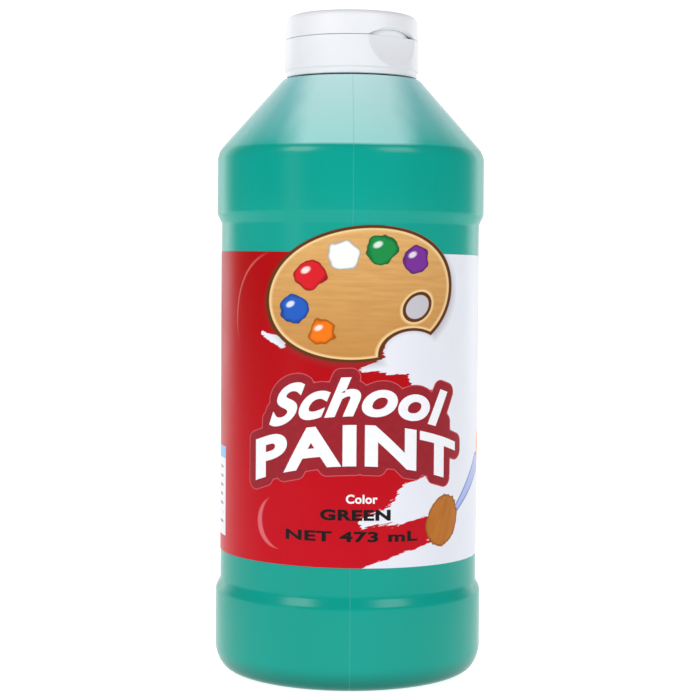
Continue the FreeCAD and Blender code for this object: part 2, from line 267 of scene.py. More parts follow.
class Finish:
    """A material while it is being made: a Principled shader and the nodes that feed it."""

    def __init__(self, name, **constants):
        self.material = bpy.data.materials.new(name)
        self.material.use_nodes = True
        self.tree = self.material.node_tree
        self.tree.nodes.clear()
        self.shader = self.node("ShaderNodeBsdfPrincipled")
        output = self.node("ShaderNodeOutputMaterial")
        self.tree.links.new(self.shader.outputs["BSDF"], output.inputs["Surface"])
        self.feed(**constants)

    def node(self, kind, settings=None, inputs=None):
        node = self.tree.nodes.new(kind)
        for key, value in (settings or {}).items():
            setattr(node, key, value)
        for key, value in (inputs or {}).items():
            self.plug(node.inputs[key], value)
        return node

    def plug(self, socket, value):
        if isinstance(value, Value):
            self.tree.links.new(value.socket, socket)
        elif isinstance(value, bpy.types.NodeSocket):
            self.tree.links.new(value, socket)
        elif isinstance(value, (tuple, list)) and socket.type == "RGBA" and len(value) == 3:
            socket.default_value = (*value, 1.0)
        else:
            socket.default_value = value

    def math(self, operation, *values, clamp=False):
        node = self.node("ShaderNodeMath", {"operation": operation, "use_clamp": clamp})
        for socket, value in zip(node.inputs, values):
            self.plug(socket, value)
        return Value(self, node.outputs[0])

    def least(self, first, *others):
        for other in others:
            first = self.math("MINIMUM", first, other)
        return first

    def most(self, first, *others):
        for other in others:
            first = self.math("MAXIMUM", first, other)
        return first

    def clamped(self, value):
        return self.math("ADD", value, 0.0, clamp=True)

    def length(self, across, up):
        return (across * across + up * up) ** 0.5

    def inside(self, distance, softness):
        """1 where a distance is below zero, 0 above, with a soft edge."""
        return self.clamped(0.5 - distance / softness)

    def smooth(self, value, low, high):
        """0 below low, 1 above high, with a gentle S between them."""
        share = self.clamped((value - low) / (high - low))
        return share * share * (3.0 - share * 2.0)

    def mix(self, share, first, second):
        node = self.node("ShaderNodeMix", {"data_type": "RGBA", "clamp_factor": True})
        self.plug(node.inputs[0], share)
        self.plug(node.inputs[6], first)
        self.plug(node.inputs[7], second)
        return node.outputs[2]

    def place(self):
        """Object coordinates as three values."""
        coordinates = self.node("ShaderNodeTexCoord").outputs["Object"]
        parts = self.node("ShaderNodeSeparateXYZ", inputs={"Vector": coordinates})
        return [Value(self, parts.outputs[i]) for i in range(3)]

    def vector(self, x, y, z=0.0):
        return self.node("ShaderNodeCombineXYZ", inputs={"X": x, "Y": y, "Z": z}).outputs[0]

    def noise(self, vector, scale, detail, roughness=0.5):
        node = self.node("ShaderNodeTexNoise", inputs={
            "Vector": vector, "Scale": scale, "Detail": detail, "Roughness": roughness,
        })
        return Value(self, node.outputs["Fac"])

    def speckle(self, vector, scale, threshold, softness):
        """Sparse small spots: 1 in a spot, 0 elsewhere."""
        node = self.node("ShaderNodeTexVoronoi", {"feature": "F1"}, {"Vector": vector, "Scale": scale})
        parts = self.node("ShaderNodeSeparateColor", inputs={"Color": node.outputs["Color"]})
        reach = (Value(self, parts.outputs[0]) - threshold) * 0.25
        return self.inside(Value(self, node.outputs["Distance"]) - reach, softness)

    def bump(self, height, strength, distance):
        inputs = {"Height": height, "Strength": strength, "Distance": distance}
        return self.node("ShaderNodeBump", inputs=inputs).outputs["Normal"]

    def feed(self, **sockets):
        for key, value in sockets.items():
            self.plug(self.shader.inputs[key.replace("_", " ")], value)
        return self.material


def srgb(red, green, blue):
    """A linear colour from 0-255 display values."""
    def channel(value):
        value /= 255
        return value / 12.92 if value <= 0.04045 else ((value + 0.055) / 1.055) ** 2.4
    return channel(red), channel(green), channel(blue)


# ======================================================================
# Camera, floor and light
# ======================================================================
def make_camera():
    data = bpy.data.cameras.new("camera")
    data.sensor_width = 36
    data.lens = 92.6
    data.shift_x = 0.0007
    camera = bpy.data.objects.new("camera", data)
    stand = (0, -481.5 * MM, 106.3 * MM)
    pitch_down = math.radians(2.547)
    roll = math.radians(0.45)
    camera.matrix_world = (
        Matrix.Translation(stand)
        @ Matrix.Rotation(math.pi / 2 - pitch_down, 4, "X")
        @ Matrix.Rotation(roll, 4, "Z")
    )
    bpy.context.scene.collection.objects.link(camera)
    bpy.context.scene.camera = camera


def make_area_light(name, place, target, size, power):
    data = bpy.data.lights.new(name, "AREA")
    data.shape = "RECTANGLE"
    data.size, data.size_y = size
    data.energy = power
    light = bpy.data.objects.new(name, data)
    aim = (Vector(target) - Vector(place)).to_track_quat("-Z", "Y").to_matrix().to_4x4()
    light.matrix_world = Matrix.Translation(place) @ aim
    bpy.context.scene.collection.objects.link(light)


def make_studio():
    """A white paper sweep that glows a little, a plain world and five softboxes."""
    half_width, wall_height, cove = 1.6, 1.2, 0.5
    bm = bmesh.new()
    bmesh.ops.create_grid(bm, x_segments=1, y_segments=1, size=half_width)
    back = [e for e in bm.edges if all(v.co.y > half_width / 2 for v in e.verts)]
    wall = bmesh.ops.extrude_edge_only(bm, edges=back)["geom"]
    bmesh.ops.translate(bm, verts=vertices_of(wall), vec=(0, 0, wall_height))
    round_edges(bm, back, cove, 16)
    mesh = bpy.data.meshes.new("floor")
    bm.to_mesh(mesh)
    bm.free()
    for polygon in mesh.polygons:
        polygon.use_smooth = True
    paper = Finish("studio_paper", Roughness=0.9, Emission_Color=(1, 1, 1), Emission_Strength=0.85)
    mesh.materials.append(paper.feed(Base_Color=(0.6, 0.6, 0.6)))
    floor = bpy.data.objects.new("floor", mesh)
    bpy.context.scene.collection.objects.link(floor)

    world = bpy.data.worlds.new("studio")
    world.use_nodes = True
    background = world.node_tree.nodes["Background"]
    background.inputs["Color"].default_value = (1, 1, 1, 1)
    background.inputs["Strength"].default_value = 0.24
    bpy.context.scene.world = world
    bpy.context.scene.view_settings.view_transform = "Standard"

    bottle_middle = (0, 0, 0.09)
    lamps = (
        ("left_softbox", (-0.49, -0.46, 0.53), (0.34, 0.26), 2.25),
        ("right_softbox", (0.45, -0.50, 0.53), (0.36, 0.26), 1.9),
        ("low_left_strip", (-0.60, -0.52, 0.20), (0.20, 0.40), 0.25),
        ("back_left_softbox", (-0.60, 0.60, 0.35), (0.40, 0.80), 0.9),
        ("back_right_softbox", (0.60, 0.60, 0.35), (0.40, 0.80), 0.9),
    )
    for name, place, size, power in lamps:
        make_area_light(name, place, bottle_middle, size, power)


# ======================================================================
# Finishes
# ======================================================================
def bottle_finish():
    """Natural polyethylene. The paint behind it gives its colour, paler where only a film clings. Also
    painted light: a painted highlight across the middle above the paint, painted shade towards the heel
    and a painted line on the mould seam.
    """
    finish = Finish(
        "bottle_plastic", IOR=1.5, Specular_IOR_Level=0.2, Sheen_Weight=0.8, Sheen_Roughness=0.1,
    )
    x, y, z = finish.place()
    point = finish.vector(x, y, z)
    sides = finish.vector(x, y, z * 0.25)
    cloud = finish.noise(sides, 28, 3, 0.6)
    streak = finish.noise(finish.vector(x, y, z * 0.06), 160, 2)
    full = finish.mix(cloud, srgb(0, 149, 132), srgb(2, 163, 149))
    # painted shade: the paint colour turns darker over the lowest 7 mm, towards the heel that faces the
    # floor
    full = finish.mix(finish.smooth(z, 1.0 * MM, 7.0 * MM), srgb(0, 112, 100), full)
    rise = finish.clamped((z - PAINT_LEVEL) / (SHOULDER_TOP - PAINT_LEVEL))
    # painted highlight and painted light through the far wall: above the paint, the middle of the front
    # and back is painted pale (clear) and the sides keep the deeper film tint (coated)
    clear = finish.mix(rise, srgb(160, 221, 217), srgb(192, 230, 231))
    coated = finish.mix(rise ** 0.55, srgb(2, 170, 155), srgb(138, 200, 202))
    side = finish.math("ABSOLUTE", x) + (streak - 0.5) * (3.0 * MM) - (1.0 - rise) * (3.5 * MM)
    film = finish.mix(finish.smooth(side, 7.5 * MM, 16.0 * MM), clear, coated)
    wobble = finish.noise(point, 40, 2) * (0.5 * MM)
    above = finish.inside(PAINT_LEVEL - z + wobble - 0.25 * MM, 0.7 * MM)
    colour = finish.mix(above, full, film)
    # painted line along the mould seam, standing in for the light and shade on its raised ridge
    seam = finish.inside(finish.math("ABSOLUTE", x + y * math.tan(SEAM_TURN)) - 0.12 * MM, 0.1 * MM)
    colour = finish.mix(seam * 0.25, colour, srgb(90, 170, 168))
    specks = finish.speckle(point, 420, 0.93, 0.02)
    colour = finish.mix(specks * 0.35, colour, srgb(205, 238, 234))
    grain = finish.noise(point, 2600, 2) * 0.35 + finish.noise(sides, 240, 2)
    return finish.feed(
        Base_Color=colour,
        Roughness=0.19 + cloud * 0.08 + specks * 0.2,
        Normal=finish.bump(grain, 0.12, 0.12 * MM),
    )


def cap_finish():
    """White polypropylene with a fine moulded satin grain."""
    finish = Finish(
        "cap_plastic", IOR=1.49, Specular_IOR_Level=0.35, Subsurface_Weight=0.15,
        Subsurface_Radius=(1.0, 1.0, 1.0), Subsurface_Scale=0.8 * MM,
    )
    x, y, z = finish.place()
    point = finish.vector(x, y, z)
    cloud = finish.noise(point, 90, 3)
    colour = finish.mix(cloud, srgb(228, 230, 235), srgb(235, 236, 240))
    specks = finish.speckle(point, 500, 0.95, 0.02)
    colour = finish.mix(specks * 0.3, colour, srgb(205, 207, 212))
    grain = finish.noise(point, 3200, 2)
    return finish.feed(
        Base_Color=colour,
        Roughness=0.3 + cloud * 0.12,
        Normal=finish.bump(grain, 0.08, 0.08 * MM),
    )


def paint_finish():
    """Thick green tempera with slow swirls."""
    finish = Finish("green_paint", IOR=1.4)
    x, y, z = finish.place()
    swirl = finish.noise(finish.vector(x, y, z), 55, 4, 0.6)
    return finish.feed(
        Base_Color=finish.mix(swirl, srgb(0, 128, 104), srgb(4, 152, 128)),
        Roughness=0.2 + swirl * 0.15,
        Normal=finish.bump(swirl, 0.2, 0.5 * MM),
    )


def foil_finish():
    """Bright seal foil, faintly crinkled."""
    finish = Finish("seal_foil", Metallic=1.0)
    x, y, z = finish.place()
    point = finish.vector(x, y, z)
    crinkle = finish.noise(point, 420, 4, 0.6)
    return finish.feed(
        Base_Color=finish.mix(crinkle, srgb(206, 208, 212), srgb(232, 233, 236)),
        Roughness=0.22 + crinkle * 0.2,
        Normal=finish.bump(crinkle, 0.4, 0.3 * MM),
    )


def liner_finish():
    """Pressed white foam."""
    finish = Finish("liner_foam", IOR=1.4)
    x, y, z = finish.place()
    cells = finish.noise(finish.vector(x, y, z), 1500, 3)
    return finish.feed(
        Base_Color=finish.mix(cells, srgb(222, 222, 218), srgb(240, 240, 236)),
        Roughness=0.75 + cells * 0.15,
        Normal=finish.bump(cells, 0.4, 0.1 * MM),
    )


def ink_finish(name, dark, light):
    """Flat printing ink with a slight mottle."""
    finish = Finish(name, IOR=1.5, Specular_IOR_Level=0.16)
    x, y, z = finish.place()
    mottle = finish.noise(finish.vector(x, y, z), 900, 3)
    return finish.feed(
        Base_Color=finish.mix(mottle, dark, light),
        Roughness=0.28 + mottle * 0.12,
    )


def plaque_finish():
    """Dark red ink with a thin pale line round its edge."""
    finish = Finish("plaque_ink", IOR=1.5, Specular_IOR_Level=0.16)
    x, y, z = finish.place()
    mottle = finish.noise(finish.vector(x, y, z), 700, 3)
    attribute = finish.node("ShaderNodeAttribute", {"attribute_name": "reach"})
    reach = Value(finish, attribute.outputs["Fac"])
    dark = finish.mix(mottle, srgb(140, 20, 34), srgb(160, 34, 46))
    edge = finish.inside(PLAQUE_BORDER - 0.24 * MM - reach, 0.12 * MM)
    return finish.feed(
        Base_Color=finish.mix(edge, dark, srgb(196, 84, 92)),
        Roughness=0.28 + mottle * 0.12,
    )


PRINT_WIDTH = 220.0     # what a whole print UV stands for, in millimetres round the bottle
PRINT_HEIGHT = 200.0    # and up the bottle


def label_finish():
    """Printed wrap film: a red field, white strokes, a palette badge, a dab, a brush and side panels."""
    finish = Finish(
        "label_print", IOR=1.5, Specular_IOR_Level=0.12, Sheen_Weight=0.8, Sheen_Roughness=0.1,
    )
    uv = finish.node("ShaderNodeUVMap", {"uv_map": "print"}).outputs["UV"]
    parts = finish.node("ShaderNodeSeparateXYZ", inputs={"Vector": uv})
    u = (Value(finish, parts.outputs[0]) - 0.5) * PRINT_WIDTH
    w = Value(finish, parts.outputs[1]) * PRINT_HEIGHT
    crisp = 0.16

    def line(slope_from, slope_to):
        """Signed distance above the line through two points."""
        (ax, aw), (bx, bw) = slope_from, slope_to
        span = math.hypot(bx - ax, bw - aw)
        return (w - aw) * ((bx - ax) / span) - (u - ax) * ((bw - aw) / span)

    def stick(start, end, width_start, width_end):
        """Signed distance to a round-ended stick that tapers."""
        (ax, aw), (bx, bw) = start, end
        dx, dw = bx - ax, bw - aw
        share = finish.clamped(((u - ax) * dx + (w - aw) * dw) / (dx * dx + dw * dw))
        gap = finish.length(u - ax - share * dx, w - aw - share * dw)
        return gap - (width_start + share * (width_end - width_start))

    def oval(middle, half_long, half_short, tilt):
        """Rough signed distance to a tilted oval, in millimetres."""
        cos, sin = math.cos(math.radians(tilt)), math.sin(math.radians(tilt))
        along = (u - middle[0]) * cos + (w - middle[1]) * sin
        across = (w - middle[1]) * cos - (u - middle[0]) * sin
        return (finish.length(along / half_long, across / half_short) - 1.0) * half_short

    def block(middle, half_long, half_short):
        """Signed distance to an upright block."""
        across = finish.math("ABSOLUTE", u - middle[0])
        up = finish.math("ABSOLUTE", w - middle[1])
        return finish.most(across - half_long, up - half_short)

    def bristles(tilt, fine, coarse):
        """Streaky noise that runs along a brush stroke, about -1 to 1."""
        cos, sin = math.cos(math.radians(tilt)), math.sin(math.radians(tilt))
        along = u * cos + w * sin
        across = w * cos - u * sin
        streaks = finish.noise(finish.vector(along * 0.16, across), fine, 3, 0.65)
        lumps = finish.noise(finish.vector(along * 0.35, across), coarse, 2)
        return streaks * 1.3 + lumps * 0.7 - 1.0

    film = finish.noise(finish.vector(u, w), 0.09, 2)
    red = finish.mix(finish.clamped((w - 32) / 70), srgb(198, 0, 28), srgb(172, 0, 2))
    red = finish.mix(film * 0.35, red, srgb(172, 0, 16))
    white = finish.mix(film, srgb(226, 228, 238), srgb(233, 235, 243))

    # white brush strokes
    rough = bristles(8, 1.3, 0.4)
    foot = finish.least(-line((1.5, 81.2), (30.0, 79.4)), -line((15.0, 80.5), (22.0, 66.0)))
    upper = finish.most(foot, finish.least(line((0.5, 80.6), (12.5, 86.4)), 9.0 - u))
    upper = upper + rough * 2.2
    tips = stick((-23.8, 89.8), (-18.0, 87.6), 0.6, 1.3) + rough * 1.7
    sweep = bristles(15, 1.25, 0.35)
    swash = finish.least(
        stick((34.0, 52.0), (17.0, 48.4), 6.5, 4.9), stick((18.0, 47.4), (4.0, 43.4), 3.9, 1.2)
    ) + sweep * 3.8
    lower = line((2.0, 31.2), (21.0, 37.6)) + sweep * 2.8
    side = 24.5 - u + rough * 0.6
    paper = finish.inside(finish.least(upper, tips, swash, lower, side), crisp)
    colour = finish.mix(paper, red, white)

    # thin pale sweeps on the red field
    thin = finish.math("ABSOLUTE", oval((-17.0, 93.5), 17.6, 17.3, 90.0)) - 0.22
    thin_shows = finish.smooth(w, 86.0, 97.0) * finish.smooth(-u, 21.0, 29.0)
    colour = finish.mix(finish.inside(thin, 0.45) * thin_shows * 0.45, colour, srgb(236, 150, 150))
    crescent = finish.most(oval((-18.6, 42.3), 6.6, 6.6, 0), -oval((-16.16, 42.84), 7.66, 7.66, 0))
    colour = finish.mix(finish.inside(crescent, 0.4) * 0.45, colour, srgb(240, 150, 160))

    # palette badge
    tilt = math.degrees(BADGE_TILT)
    centre = tuple(place / MM for place in BADGE_CENTRE)
    half_long, half_short = (size / MM for size in BADGE_HALF)
    cos, sin = math.cos(BADGE_TILT), math.sin(BADGE_TILT)

    def on_badge(along, across):
        return centre[0] + along * cos - across * sin, centre[1] + along * sin + across * cos

    board = oval(centre, half_long, half_short, tilt)
    bite = oval(on_badge(11.5, -17.5), 9.0, 6.5, tilt - 12)
    thumb = oval(on_badge(14.0, -5.2), 3.6, 2.7, tilt + 25)
    badge = finish.most(board, -bite, -thumb)
    shadow = oval((centre[0] + 0.7, centre[1] - 0.9), half_long + 0.3, half_short + 0.3, tilt)
    shadow = finish.most(shadow, -bite)
    colour = finish.mix(finish.inside(shadow, 1.8) * 0.35, colour, srgb(90, 60, 60))
    wood = finish.noise(finish.vector(u * 0.10, w * 0.9), 1.1, 3)
    glow = finish.clamped((w - 84) / 34)
    board_colour = finish.mix(glow, srgb(196, 140, 74), srgb(226, 178, 112))
    board_colour = finish.mix(finish.clamped(wood * 1.4 - 0.5) * 0.6, board_colour, srgb(172, 112, 54))
    colour = finish.mix(finish.inside(badge, crisp), colour, srgb(96, 52, 20))
    colour = finish.mix(finish.inside(badge + 0.75, crisp), colour, srgb(240, 206, 150))
    colour = finish.mix(finish.inside(badge + 1.25, 0.5), colour, board_colour)

    dabs = (
        (-18.0, -1.5, 3.5, (34, 92, 190)),
        (-12.6, 6.3, 3.7, (214, 30, 40)),
        (-3.4, 10.0, 3.8, (245, 245, 240)),
        (6.4, 10.2, 3.6, (30, 140, 70)),
        (15.2, 6.6, 3.4, (120, 50, 150)),
        (-11.4, -8.2, 3.2, (240, 120, 20)),
    )
    lump = (finish.noise(finish.vector(u, w), 0.3, 1) - 0.5) * 2.4
    for along, across, size, shade in dabs:
        place = on_badge(along, across)
        blob = oval(place, size * 1.12, size, 20) + lump
        shine = oval((place[0] - size * 0.3, place[1] + size * 0.35), size * 0.34, size * 0.2, 25)
        dark = tuple(channel * 0.6 for channel in shade)
        colour = finish.mix(finish.inside(blob, crisp), colour, srgb(*dark))
        colour = finish.mix(finish.inside(blob + 0.4, 0.8), colour, srgb(*shade))
        colour = finish.mix(finish.inside(shine, 0.4) * 0.7, colour, srgb(255, 255, 255))

    # dab of paint and a brush
    handle = stick((31.4, 44.9), (46.0, 56.6), 0.9, 2.5)
    colour = finish.mix(finish.inside(handle, crisp), colour, srgb(122, 142, 205))
    colour = finish.mix(finish.inside(handle + 0.55, 0.5), colour, srgb(172, 186, 232))
    swirl = bristles(62, 1.0, 0.4)
    blot = oval((26.8, 43.0), 6.8, 5.5, 62) + swirl * 1.1
    colour = finish.mix(finish.inside(blot, crisp), colour, srgb(140, 78, 22))
    blot_colour = finish.mix(finish.clamped(swirl + 0.5), srgb(168, 96, 26), srgb(196, 124, 48))
    colour = finish.mix(finish.inside(blot + 0.35, 0.3), colour, blot_colour)

    # side panels
    panel = block((-60.0, 47.8), 18.2, 11.7)
    colour = finish.mix(finish.inside(panel, crisp), colour, srgb(232, 236, 242))
    header = finish.most(panel, 56.4 - w)
    colour = finish.mix(finish.inside(header, crisp), colour, srgb(120, 186, 232))
    spacing = 2.4
    rows = finish.math("ABSOLUTE", finish.math("FRACT", w / spacing) - 0.5) * spacing - 0.35
    words = finish.noise(finish.vector(u, finish.math("FLOOR", w / spacing) * 7.0), 0.5, 1)
    lines = finish.most(rows, panel + 2.2, w - 54.5, (0.42 - words) * 3.0)
    colour = finish.mix(finish.inside(lines, 0.2) * 0.75, colour, srgb(70, 80, 96))
    swatches = ((244, 132, 42), (46, 150, 84), (40, 104, 196), (212, 40, 48))
    for index, shade in enumerate(swatches):
        swatch = oval((51.5 + index * 11.0, 60.8), 4.6, 4.6, 0)
        colour = finish.mix(finish.inside(swatch, crisp), colour, srgb(*shade))
    bar_field = block((78.0, 43.5), 15.0, 6.5)
    bar_width = 0.45
    bars = finish.noise(finish.vector(finish.math("FLOOR", u / bar_width) * 3.7, 0.0), 1.0, 0)
    stripes = finish.most(bar_field, (0.5 - bars) * 6.0)
    colour = finish.mix(finish.inside(stripes, 0.1), colour, srgb(25, 25, 28))

    scuffs = finish.speckle(finish.vector(u, w), 0.42, 0.95, 0.02)
    colour = finish.mix(scuffs * 0.35, colour, srgb(244, 214, 214))
    ripple = finish.noise(finish.vector(u * 0.35, w), 0.22, 3)
    return finish.feed(
        Base_Color=colour,
        Roughness=0.24 + film * 0.14,
        Normal=finish.bump(ripple, 0.15, 0.2 * MM),
    )


# ======================================================================
# Bottle
# ======================================================================
def body_outline():
    """Corners (radius, height, fillet) of the outside, from the base's middle to the shoulder's top."""
    heel = BAND_RADIUS - 2.8 * MM
    foot = 27.05 * MM
    return [
        (0, PUSH_UP, 0),
        (foot - 3.0 * MM, PUSH_UP, 1.5 * MM),
        (foot, 0, 1.0 * MM),
        (heel, 0, 3.8 * MM),
        (BAND_RADIUS, 4.1 * MM, 7.9 * MM),
        (BAND_RADIUS, PANEL_FOOT - LEDGE, 2.1 * MM),
        (PANEL_RADIUS, PANEL_FOOT, 2.1 * MM),
        (PANEL_RADIUS, PANEL_TOP, 2.1 * MM),
        (BAND_RADIUS, PANEL_TOP + LEDGE, 2.1 * MM),
        (BAND_RADIUS, KNEE, 5.1 * MM),
        (SHOULDER_TOP_RADIUS, SHOULDER_TOP, 0.8 * MM),
    ]


def make_bottle(material):
    outside = body_outline()
    neck = [
        (NECK_RADIUS, SHOULDER_TOP, 0.6 * MM),
        (NECK_RADIUS, LAND_HEIGHT, 0.4 * MM),
        (NECK_BORE, LAND_HEIGHT, 0.3 * MM),
        (NECK_BORE, SHOULDER_TOP - WALL, 0.8 * MM),
    ]
    shoulder_slope = math.radians(48.6)
    slant = WALL / math.sin(shoulder_slope)
    inside = [
        (SHOULDER_TOP_RADIUS - 0.6 * MM, SHOULDER_TOP - WALL, 0),
        (BAND_RADIUS - WALL, KNEE - slant * 0.4, 0),
        (BAND_RADIUS - WALL, PANEL_TOP + LEDGE, 0),
        (PANEL_RADIUS - WALL, PANEL_TOP, 0),
        (PANEL_RADIUS - WALL, PANEL_FOOT, 0),
        (BAND_RADIUS - WALL, PANEL_FOOT - LEDGE, 0),
        (BAND_RADIUS - WALL, 6.0 * MM, 0),
        (BAND_RADIUS - 4.0 * MM, 1.6 * MM, 0),
        (26.5 * MM, WALL, 0),
        (24.0 * MM, PUSH_UP + WALL, 0),
        (0, PUSH_UP + WALL, 0),
    ]
    shell = turned(outside + neck + inside, steps=288)
    join_into(shell, neck_thread())
    return finish_piece(
        "bottle_shell", shell, material, "bottle", ["bottle"], crease=50,
    )


def thread(root, crest, half_root, half_crest, foot, start, turns):
    """A helical ridge whose ends fade into the wall. Start and turns are in turns, from +X on."""
    steps = int(turns * 72)
    overlap = 0.3 * MM
    fade = 0.16
    least_height = 0.1
    bm = bmesh.new()
    sunk = root - math.copysign(overlap, crest - root)
    outline = ((sunk, -half_root), (crest, -half_crest), (crest, half_crest), (sunk, half_root))
    verts = [bm.verts.new((radius, 0, height)) for radius, height in outline]
    edges = [bm.edges.new((verts[i], verts[(i + 1) % 4])) for i in range(4)]
    climb = THREAD_PITCH * turns
    bmesh.ops.spin(
        bm, geom=verts + edges, cent=(0, 0, 0), axis=(0, 0, 1), angle=math.tau * turns, steps=steps,
        dvec=(0, 0, climb / steps),
    )
    bmesh.ops.holes_fill(bm, edges=[e for e in bm.edges if e.is_boundary], sides=4)
    bmesh.ops.recalc_face_normals(bm, faces=bm.faces)
    for vert in bm.verts:
        angle = math.atan2(vert.co.y, vert.co.x) / math.tau
        turn = angle + round(vert.co.z / THREAD_PITCH - angle)
        share = min(1.0, max(0.0, min(turn, turns - turn) / fade))
        radius = radius_of(vert)
        wanted = sunk + (radius - sunk) * (least_height + (1 - least_height) * share)
        vert.co.x *= wanted / radius
        vert.co.y *= wanted / radius
    lifted = Matrix.Translation((0, 0, foot + THREAD_PITCH * start))
    bmesh.ops.transform(bm, matrix=lifted @ Matrix.Rotation(math.tau * start, 4, "Z"), verts=bm.verts)
    return bm


def neck_thread():
    crest = NECK_RADIUS + 1.25 * MM
    return thread(NECK_RADIUS, crest, 1.1 * MM, 0.6 * MM, THREAD_FOOT, 0.0, THREAD_TURNS)


def make_seam(material):
    """The thin raised line that the two mould halves leave, from base to neck, front and back."""
    half = 0.16 * MM
    proud = 0.07 * MM
    sunk = 0.05 * MM
    widest = BAND_RADIUS - 0.005 * MM
    sampler = turned(body_outline(), steps=4)
    outline = [v.co.copy() for v in sampler.verts if abs(v.co.y) < 1e-7 and v.co.x >= -1e-7]
    sampler.free()
    outline.sort(key=outline_order)
    outline = [co for co in outline if co.x > 2 * MM]
    seam = bmesh.new()
    for side in (-1, 1):
        columns = []
        for offset, lift in ((-half, -sunk), (0, proud), (half, -sunk)):
            columns.append([
                seam.verts.new((offset, side * min(co.x + lift, widest), co.z)) for co in outline
            ])
        for left, right in zip(columns, columns[1:]):
            for a, b, c, d in zip(left, left[1:], right[1:], right):
                seam.faces.new((a, b, c, d))
    bmesh.ops.rotate(seam, verts=seam.verts, cent=(0, 0, 0), matrix=Matrix.Rotation(SEAM_TURN, 3, "Z"))
    bmesh.ops.recalc_face_normals(seam, faces=seam.faces)
    return finish_piece("mould_seam", seam, material, "bottle", crease=80)


def outline_order(co):
    """Sorts outline points from the base's middle outwards and up."""
    if co.z < 3 * MM and co.x < 31 * MM:
        return (0, co.x)
    return (1, co.z - (co.x if co.z > SHOULDER_TOP - 1 * MM else 0))


# ======================================================================
# Label
# ======================================================================
LABEL_SKEW = math.tan(math.radians(0.61))
LABEL_LOW = 31.75 * MM
LABEL_HIGH = 110.5 * MM
LABEL_HALF = math.pi * LABEL_RADIUS - 1.5 * MM
BADGE_CENTRE = (3.2 * MM, 100.4 * MM)
BADGE_HALF = (26.3 * MM, 16.9 * MM)
BADGE_TILT = math.radians(8.5)
INK_THICKNESS = 0.03 * MM
PLAQUE_THICKNESS = 0.01 * MM
PLAQUE_BORDER = 2.4 * MM


def badge_point(angle):
    """A point on the badge's oval, in flat print millimetres."""
    along = BADGE_HALF[0] * math.cos(angle)
    across = BADGE_HALF[1] * math.sin(angle)
    return (
        BADGE_CENTRE[0] + along * math.cos(BADGE_TILT) - across * math.sin(BADGE_TILT),
        BADGE_CENTRE[1] + along * math.sin(BADGE_TILT) + across * math.cos(BADGE_TILT),
    )


def wrap_round(bm, radius):
    """Bends a flat print (X round the bottle, Z up) onto the wall, with the label's slight skew."""
    for vert in bm.verts:
        angle = vert.co.x / LABEL_RADIUS
        out = radius - vert.co.y
        drop = LABEL_RADIUS * math.sin(angle) * LABEL_SKEW
        vert.co = Vector((out * math.sin(angle), -out * math.cos(angle), vert.co.z - drop))


def make_label(material):
    bm = bmesh.new()
    count = 240
    hump = [badge_point(math.tau * i / count) for i in range(count)]
    hump = [point for point in hump if point[1] > LABEL_HIGH]
    hump.sort(key=lambda point: -point[0])
    outline = [(-LABEL_HALF, LABEL_LOW), (LABEL_HALF, LABEL_LOW), (LABEL_HALF, LABEL_HIGH)]
    outline += hump
    outline.append((-LABEL_HALF, LABEL_HIGH))
    bm.faces.new([bm.verts.new((across, 0, up)) for across, up in outline])
    cut_columns(bm, -LABEL_HALF, LABEL_HALF, 1.2 * MM)
    thicken(bm, -LABEL_THICKNESS)
    bmesh.ops.recalc_face_normals(bm, faces=bm.faces)
    prints = bm.loops.layers.uv.new("print")
    for face in bm.faces:
        for loop in face.loops:
            across, up = loop.vert.co.x / MM, loop.vert.co.z / MM
            loop[prints].uv = (across / PRINT_WIDTH + 0.5, up / PRINT_HEIGHT)
    wrap_round(bm, LABEL_RADIUS)
    return finish_piece("wrap_label", bm, material, "bottle", ["label"])


def lettering(words, box, arch, weight, slant):
    """Flat plain lettering that fills a (left, low, right, high) box, bent into an arch."""
    curve = bpy.data.curves.new("lettering", "FONT")
    curve.body = words
    curve.size = 1.0
    curve.offset = weight
    curve.shear = slant
    curve.space_character = 1.0 + weight * 2
    carrier = bpy.data.objects.new("lettering", curve)
    bpy.context.scene.collection.objects.link(carrier)
    bpy.context.view_layer.update()
    graph = bpy.context.evaluated_depsgraph_get()
    mesh = bpy.data.meshes.new_from_object(carrier.evaluated_get(graph))
    bpy.data.objects.remove(carrier)
    bm = bmesh.new()
    bm.from_mesh(mesh)
    bmesh.ops.remove_doubles(bm, verts=bm.verts, dist=1e-5)
    low = Vector((min(v.co.x for v in bm.verts), min(v.co.y for v in bm.verts)))
    high = Vector((max(v.co.x for v in bm.verts), max(v.co.y for v in bm.verts)))
    left, foot, right, head = (side * MM for side in box)
    for vert in bm.verts:
        across = left + (vert.co.x - low.x) / (high.x - low.x) * (right - left)
        up = foot + (vert.co.y - low.y) / (high.y - low.y) * (head - foot)
        vert.co = Vector((across, 0, up))
    cut_columns(bm, left, right, 0.8 * MM)
    middle = (left + right) / 2
    for vert in bm.verts:
        vert.co.z -= arch * ((vert.co.x - middle) / ((right - left) / 2)) ** 2 * MM
    return bm


def set_lines(lines):
    """Several lines of flat lettering as one bmesh, facing out."""
    ink = bmesh.new()
    for line in lines:
        join_into(ink, lettering(*line))
    bmesh.ops.recalc_face_normals(ink, faces=ink.faces)
    for face in ink.faces:
        if face.normal.y > 0:
            face.normal_flip()
    return ink


def thicken(ink, thickness):
    """Gives a flat print its thickness: outwards, or inwards when it is negative."""
    grown = bmesh.ops.extrude_face_region(ink, geom=list(ink.faces))["geom"]
    bmesh.ops.translate(ink, verts=vertices_of(grown), vec=(0, -thickness, 0))


